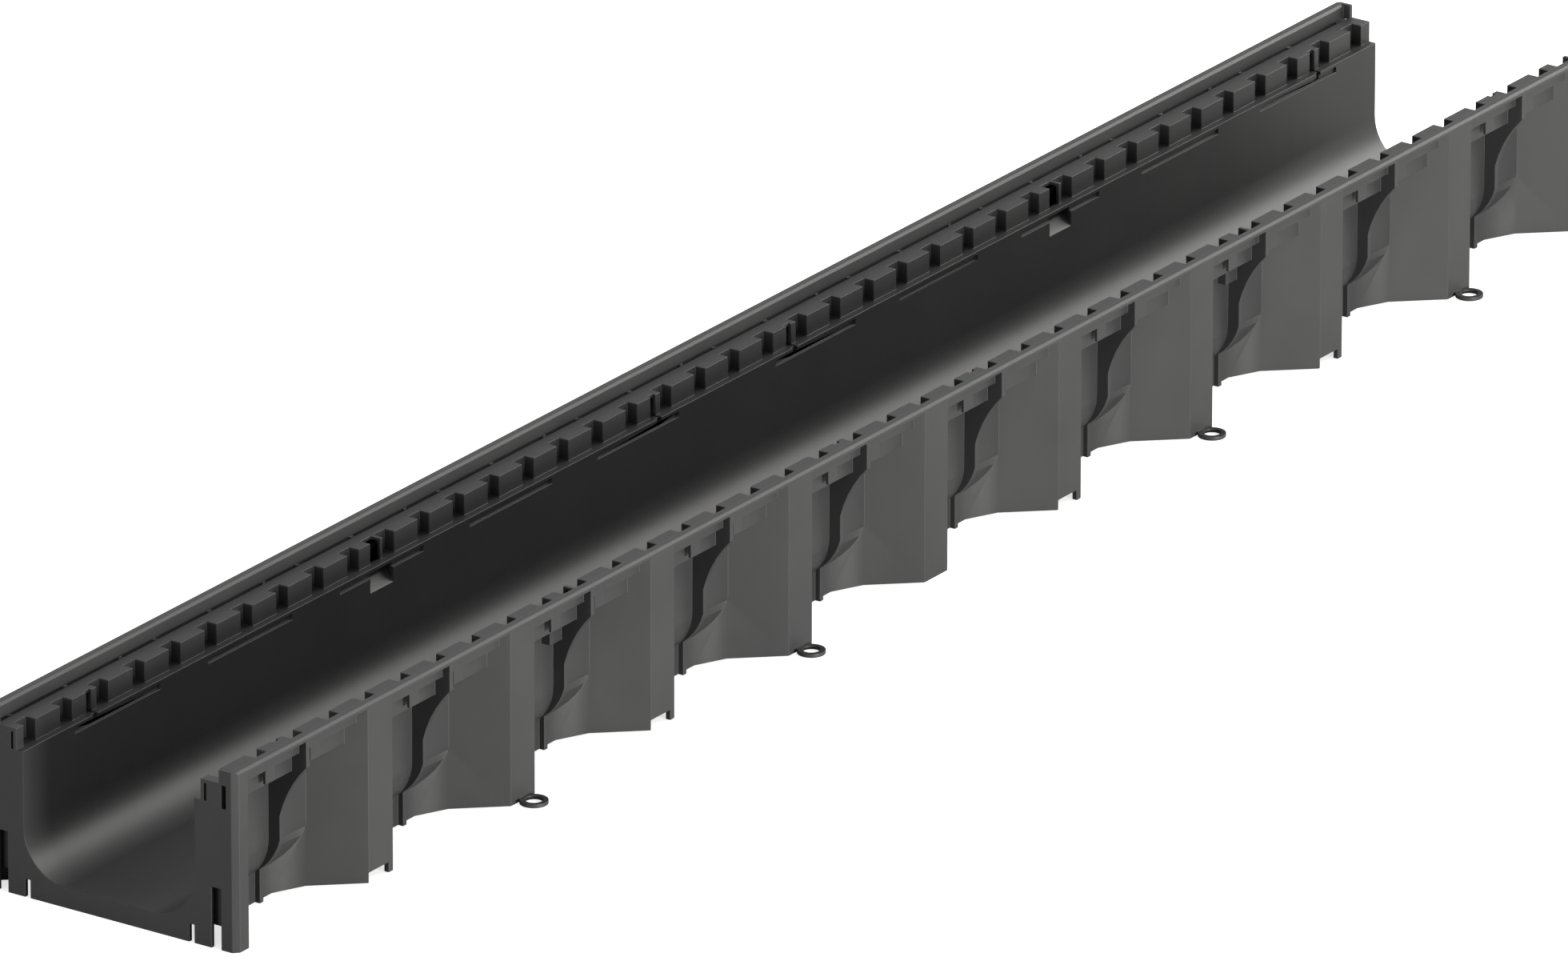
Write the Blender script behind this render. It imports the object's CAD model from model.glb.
import math
import bmesh
import bpy
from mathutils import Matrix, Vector


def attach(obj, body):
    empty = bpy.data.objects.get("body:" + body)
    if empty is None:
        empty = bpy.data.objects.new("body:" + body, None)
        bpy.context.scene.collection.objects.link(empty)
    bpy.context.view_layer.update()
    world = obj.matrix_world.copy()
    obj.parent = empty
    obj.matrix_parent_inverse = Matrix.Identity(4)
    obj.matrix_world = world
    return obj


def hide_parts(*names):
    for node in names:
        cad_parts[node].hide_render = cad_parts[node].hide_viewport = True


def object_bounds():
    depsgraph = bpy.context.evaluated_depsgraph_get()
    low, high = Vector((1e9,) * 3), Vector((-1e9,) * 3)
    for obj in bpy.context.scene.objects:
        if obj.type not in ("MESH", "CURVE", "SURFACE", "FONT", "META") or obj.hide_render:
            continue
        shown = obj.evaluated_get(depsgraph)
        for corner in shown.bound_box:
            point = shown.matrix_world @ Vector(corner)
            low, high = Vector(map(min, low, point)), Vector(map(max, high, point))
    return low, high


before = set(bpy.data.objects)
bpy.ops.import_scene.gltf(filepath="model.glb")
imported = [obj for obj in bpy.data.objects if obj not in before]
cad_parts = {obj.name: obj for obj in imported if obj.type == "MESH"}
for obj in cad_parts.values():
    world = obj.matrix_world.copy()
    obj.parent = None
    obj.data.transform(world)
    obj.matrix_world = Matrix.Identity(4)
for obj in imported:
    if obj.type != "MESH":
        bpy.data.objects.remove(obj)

cad_box = [list(corner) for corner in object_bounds()]

# Camera: high to the near left of the channel and looking along it, from far back behind a long
# lens, so that the ten bays and both walls stay almost parallel.
view_azimuth = math.radians(-55.22)
view_elevation = math.radians(21.64)
camera_data = bpy.data.cameras.new("product_camera")
camera_data.sensor_width = 36.0
camera_data.lens = 554.4
camera_data.clip_end = 60.0
camera = bpy.data.objects.new("product_camera", camera_data)
camera.location = (-7.7728, -5.3842, 3.7812)
camera.rotation_euler = (math.radians(90) - view_elevation, 0.0, view_azimuth)
bpy.context.scene.collection.objects.link(camera)
bpy.context.scene.camera = camera

# Channel body: trough, ledges, combs, rims and corrugated skirt in one injection moulding of black
# polypropylene. It is a copy of the frame's solid, welded, with each flat face made whole again.
weld_gap = 0.00001
flat_within = math.radians(0.3)
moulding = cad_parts["channel_body"]
channel = bpy.data.objects.new("moulded_channel_body", moulding.data.copy())
bpy.context.scene.collection.objects.link(channel)
bpy.ops.object.select_all(action="DESELECT")
channel.select_set(True)
bpy.context.view_layer.objects.active = channel
bpy.ops.object.mode_set(mode="EDIT")
bpy.ops.mesh.select_all(action="SELECT")
bpy.ops.mesh.remove_doubles(threshold=weld_gap)
bpy.ops.mesh.dissolve_limited(angle_limit=flat_within)

# Its webs: one stops each upright guide of the comb above the long slot below it, and one stands
# behind each plug-in slot of the near end wall, above the legs. They taper upwards, as moulded.
web_draft = 0.96
guide_places = (-0.45, -0.05, 0.05, 0.45)
guide_web = (0.0064, 0.0050, 0.0048)
guide_web_across = 0.0470
guide_web_level = 0.0609
slot_web = (0.0012, 0.0172, 0.0196)
slot_web_place = cad_box[0][0] + 0.0052
slot_web_across = 0.0535
slot_web_level = 0.0180


def mould_web(centre, size):
    """Add a web to the mesh in edit mode, and draw its upper corners in by the draft."""
    bpy.ops.mesh.select_all(action="DESELECT")
    bpy.ops.mesh.primitive_cube_add(size=1.0, location=centre, scale=size)
    body = bmesh.from_edit_mesh(channel.data)
    for corner in body.verts:
        if corner.select and corner.co.z < centre[2]:
            corner.select = False
    body.select_flush_mode()
    bmesh.update_edit_mesh(channel.data)
    bpy.ops.transform.resize(value=(web_draft, web_draft, 1.0), center_override=centre)


for side in (-1, 1):
    for place in guide_places:
        mould_web((place, side * guide_web_across, guide_web_level), guide_web)
    mould_web((slot_web_place, side * slot_web_across, slot_web_level), slot_web)
bpy.ops.object.mode_set(mode="OBJECT")

# Its edges: every corner of the mould's steel has a fine radius, too fine for the frame's solid,
# and the moulding takes it on each edge. The flat walls between them still shade flat.
edge_radius = 0.00025
sharp_corner = math.radians(32)
radius = channel.modifiers.new("mould_radius", "BEVEL")
radius.width = edge_radius
radius.segments = 2
radius.limit_method = "ANGLE"
radius.angle_limit = sharp_corner
radius.use_clamp_overlap = False
bpy.ops.object.modifier_apply(modifier="mould_radius")
bpy.ops.object.shade_smooth_by_angle(angle=sharp_corner)
flatness = channel.modifiers.new("flat_walls_stay_flat", "WEIGHTED_NORMAL")
flatness.mode = "FACE_AREA"
flatness.weight = 100
flatness.keep_sharp = True
bpy.ops.object.modifier_apply(modifier="flat_walls_stay_flat")


# Its finish: black polypropylene, grained outside where the mould is spark-eroded and a little
# glossier inside the trough, where the steel is polished and the walls drag as they leave it.
def start_group(name, sizes, results):
    """A node group that takes sizes in metres and puts out what varies over the surface."""
    group = bpy.data.node_groups.new(name, "ShaderNodeTree")
    for size in sizes:
        group.interface.new_socket(size, in_out="INPUT", socket_type="NodeSocketFloat")
    for result in results:
        group.interface.new_socket(result, in_out="OUTPUT", socket_type="NodeSocketFloat")
    return group


def add_sized_noise(group, size_socket, place_socket, detail):
    """Noise whose features are as large as the size, in metres, that the group is given."""
    per_metre = group.nodes.new("ShaderNodeMath")
    per_metre.operation = "DIVIDE"
    per_metre.inputs[0].default_value = 1.0
    noise = group.nodes.new("ShaderNodeTexNoise")
    noise.inputs["Detail"].default_value = detail
    group.links.new(size_socket, per_metre.inputs[1])
    group.links.new(per_metre.outputs[0], noise.inputs["Scale"])
    group.links.new(place_socket, noise.inputs["Vector"])
    return noise


def draw_spark_grain():
    """The spark-eroded grain of the mould's steel: fine pits, and broad patches of gloss."""
    group = start_group("spark_grain", ["Pit Size"], ["Height", "Patches"])
    inlet = group.nodes.new("NodeGroupInput")
    outlet = group.nodes.new("NodeGroupOutput")
    place = group.nodes.new("ShaderNodeTexCoord")
    pits = add_sized_noise(group, inlet.outputs["Pit Size"], place.outputs["Object"], 4.0)
    pits.inputs["Roughness"].default_value = 0.65
    patches = group.nodes.new("ShaderNodeTexNoise")
    patches.inputs["Scale"].default_value = 22.0
    patches.inputs["Detail"].default_value = 3.0
    group.links.new(place.outputs["Object"], patches.inputs["Vector"])
    group.links.new(pits.outputs["Fac"], outlet.inputs["Height"])
    group.links.new(patches.outputs["Fac"], outlet.inputs["Patches"])
    return group


def draw_drag_marks():
    """Faint upright marks where the walls drag along the mould as the piece is ejected."""
    group = start_group("drag_marks", ["Spacing"], ["Marks"])
    inlet = group.nodes.new("NodeGroupInput")
    outlet = group.nodes.new("NodeGroupOutput")
    place = group.nodes.new("ShaderNodeTexCoord")
    stretch = group.nodes.new("ShaderNodeMapping")
    stretch.inputs["Scale"].default_value = (1.0, 1.0, 0.03)
    group.links.new(place.outputs["Object"], stretch.inputs["Vector"])
    marks = add_sized_noise(group, inlet.outputs["Spacing"], stretch.outputs["Vector"], 2.0)
    group.links.new(marks.outputs["Fac"], outlet.inputs["Marks"])
    return group


def draw_water_way_mask():
    """White inside the trough, between its walls and above its floor, and black outside it."""
    group = start_group("water_way_mask", ["Half Width", "Floor Level"], ["Mask"])
    inlet = group.nodes.new("NodeGroupInput")
    outlet = group.nodes.new("NodeGroupOutput")
    place = group.nodes.new("ShaderNodeTexCoord")
    parts = group.nodes.new("ShaderNodeSeparateXYZ")
    across = group.nodes.new("ShaderNodeMath")
    across.operation = "ABSOLUTE"
    between_walls = group.nodes.new("ShaderNodeMath")
    between_walls.operation = "LESS_THAN"
    above_floor = group.nodes.new("ShaderNodeMath")
    above_floor.operation = "GREATER_THAN"
    both = group.nodes.new("ShaderNodeMath")
    both.operation = "MULTIPLY"
    group.links.new(place.outputs["Object"], parts.inputs["Vector"])
    group.links.new(parts.outputs["Y"], across.inputs[0])
    group.links.new(across.outputs[0], between_walls.inputs[0])
    group.links.new(inlet.outputs["Half Width"], between_walls.inputs[1])
    group.links.new(parts.outputs["Z"], above_floor.inputs[0])
    group.links.new(inlet.outputs["Floor Level"], above_floor.inputs[1])
    group.links.new(between_walls.outputs[0], both.inputs[0])
    group.links.new(above_floor.outputs[0], both.inputs[1])
    group.links.new(both.outputs[0], outlet.inputs["Mask"])
    return group


black_pp = bpy.data.materials.new("moulded_black_polypropylene")
black_pp.use_nodes = True
nodes = black_pp.node_tree.nodes
links = black_pp.node_tree.links
shader = nodes["Principled BSDF"]
shader.inputs["IOR"].default_value = 1.49
shader.inputs["Specular IOR Level"].default_value = 0.4
grain = nodes.new("ShaderNodeGroup")
grain.node_tree = draw_spark_grain()
grain.inputs["Pit Size"].default_value = 0.0011
drag = nodes.new("ShaderNodeGroup")
drag.node_tree = draw_drag_marks()
drag.inputs["Spacing"].default_value = 0.004
water_way = nodes.new("ShaderNodeGroup")
water_way.node_tree = draw_water_way_mask()
water_way.inputs["Half Width"].default_value = 0.0435
water_way.inputs["Floor Level"].default_value = 0.0085
tint = nodes.new("ShaderNodeValToRGB")
tint.color_ramp.elements[0].position = 0.3
tint.color_ramp.elements[0].color = (0.019, 0.020, 0.0205, 1.0)
tint.color_ramp.elements[1].position = 0.7
tint.color_ramp.elements[1].color = (0.025, 0.026, 0.026, 1.0)
spark_gloss = nodes.new("ShaderNodeMapRange")
spark_gloss.inputs["To Min"].default_value = 0.46
spark_gloss.inputs["To Max"].default_value = 0.54
polished_gloss = nodes.new("ShaderNodeMapRange")
polished_gloss.inputs["To Min"].default_value = 0.44
polished_gloss.inputs["To Max"].default_value = 0.49
finish = nodes.new("ShaderNodeMix")
finish.data_type = "FLOAT"
scrapes = nodes.new("ShaderNodeBump")
scrapes.inputs["Strength"].default_value = 0.10
scrapes.inputs["Distance"].default_value = 0.0002
pits = nodes.new("ShaderNodeBump")
pits.inputs["Strength"].default_value = 0.12
pits.inputs["Distance"].default_value = 0.00012
links.new(grain.outputs["Patches"], tint.inputs["Fac"])
links.new(tint.outputs["Color"], shader.inputs["Base Color"])
links.new(grain.outputs["Patches"], spark_gloss.inputs["Value"])
links.new(drag.outputs["Marks"], polished_gloss.inputs["Value"])
links.new(water_way.outputs["Mask"], finish.inputs["Factor"])
links.new(spark_gloss.outputs["Result"], finish.inputs["A"])
links.new(polished_gloss.outputs["Result"], finish.inputs["B"])
links.new(finish.outputs["Result"], shader.inputs["Roughness"])
links.new(drag.outputs["Marks"], scrapes.inputs["Height"])
links.new(grain.outputs["Height"], pits.inputs["Height"])
links.new(scrapes.outputs["Normal"], pits.inputs["Normal"])
links.new(pits.outputs["Normal"], shader.inputs["Normal"])
channel.data.materials.clear()
channel.data.materials.append(black_pp)
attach(channel, "root")
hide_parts("channel_body")

# Floor: a plain white table top under the channel. To the eye it is as white as the room, and it
# still takes the channel's soft shadow.
ground = cad_box[0][2]
bpy.ops.object.select_all(action="DESELECT")
bpy.ops.mesh.primitive_plane_add(size=30.0, location=(0.0, 0.0, ground))
floor = bpy.context.object
floor.name = "studio_floor"
table_top = bpy.data.materials.new("white_table_top")
table_top.use_nodes = True
table_nodes = table_top.node_tree.nodes
table_links = table_top.node_tree.links
table_paint = table_nodes["Principled BSDF"]
table_paint.inputs["Base Color"].default_value = (0.8, 0.8, 0.8, 1.0)
table_paint.inputs["Roughness"].default_value = 0.9
table_glow = table_nodes.new("ShaderNodeEmission")
table_seen = table_nodes.new("ShaderNodeLightPath")
glow_share = table_nodes.new("ShaderNodeMath")
glow_share.operation = "MULTIPLY"
glow_share.inputs[1].default_value = 0.72
table_sum = table_nodes.new("ShaderNodeAddShader")
table_links.new(table_seen.outputs["Is Camera Ray"], glow_share.inputs[0])
table_links.new(glow_share.outputs[0], table_glow.inputs["Strength"])
table_links.new(table_paint.outputs["BSDF"], table_sum.inputs[0])
table_links.new(table_glow.outputs["Emission"], table_sum.inputs[1])
table_links.new(table_sum.outputs["Shader"], table_nodes["Material Output"].inputs["Surface"])
floor.data.materials.append(table_top)


# Studio light: low soft boxes in front of the outer wall and of the near end, a high one past the
# far end that draws the long highlight along the curve of the trough, and a small one that looks
# in at the far opening.
def hang_soft_box(name, location, aim, width, height, power):
    """A rectangular soft box, in metres and watts, turned to face a point on the channel."""
    lamp_data = bpy.data.lights.new(name, "AREA")
    lamp_data.shape = "RECTANGLE"
    lamp_data.size = width
    lamp_data.size_y = height
    lamp_data.energy = power
    lamp_data.color = (1.0, 0.985, 0.95)
    lamp = bpy.data.objects.new(name, lamp_data)
    lamp.location = location
    lamp.rotation_euler = (Vector(location) - Vector(aim)).to_track_quat("Z", "Y").to_euler()
    bpy.context.scene.collection.objects.link(lamp)


hang_soft_box("low_front_soft_box", (-0.65, -3.0, 0.24), (0.0, 0.0, 0.05), 0.9, 0.46, 165.0)
hang_soft_box("near_end_soft_box", (-3.0, 0.0, 0.25), (-0.5, 0.0, 0.04), 0.6, 0.4, 18.0)
hang_soft_box("far_end_soft_box", (1.6, -0.8, 1.1), (0.15, 0.0, 0.0), 1.5, 1.3, 29.0)
hang_soft_box("far_opening_soft_box", (1.1, -0.06, 0.2), (0.45, 0.0, 0.02), 0.1, 0.2, 2.2)

# Room: pale and even. It lights the channel softly, and is plain white wherever it is seen,
# mirrored or looked at through something clear.
room = bpy.data.worlds.new("pale_room")
room.use_nodes = True
room_nodes = room.node_tree.nodes
room_links = room.node_tree.links
room_light = room_nodes["Background"]
room_light.inputs["Color"].default_value = (1.0, 1.0, 1.0, 1.0)
room_light.inputs["Strength"].default_value = 0.4
room_white = room_nodes.new("ShaderNodeBackground")
room_white.inputs["Color"].default_value = (1.0, 1.0, 1.0, 1.0)
room_white.inputs["Strength"].default_value = 1.0
room_seen = room_nodes.new("ShaderNodeLightPath")
seen_or_mirrored = room_nodes.new("ShaderNodeMath")
seen_or_mirrored.operation = "MAXIMUM"
seen_in_any_way = room_nodes.new("ShaderNodeMath")
seen_in_any_way.operation = "MAXIMUM"
room_mix = room_nodes.new("ShaderNodeMixShader")
room_links.new(room_seen.outputs["Is Camera Ray"], seen_or_mirrored.inputs[0])
room_links.new(room_seen.outputs["Is Glossy Ray"], seen_or_mirrored.inputs[1])
room_links.new(seen_or_mirrored.outputs[0], seen_in_any_way.inputs[0])
room_links.new(room_seen.outputs["Is Transmission Ray"], seen_in_any_way.inputs[1])
room_links.new(seen_in_any_way.outputs[0], room_mix.inputs["Fac"])
room_links.new(room_light.outputs["Background"], room_mix.inputs[1])
room_links.new(room_white.outputs["Background"], room_mix.inputs[2])
room_links.new(room_mix.outputs["Shader"], room_nodes["World Output"].inputs["Surface"])
bpy.context.scene.world = room
bpy.context.scene.view_settings.view_transform = "Standard"
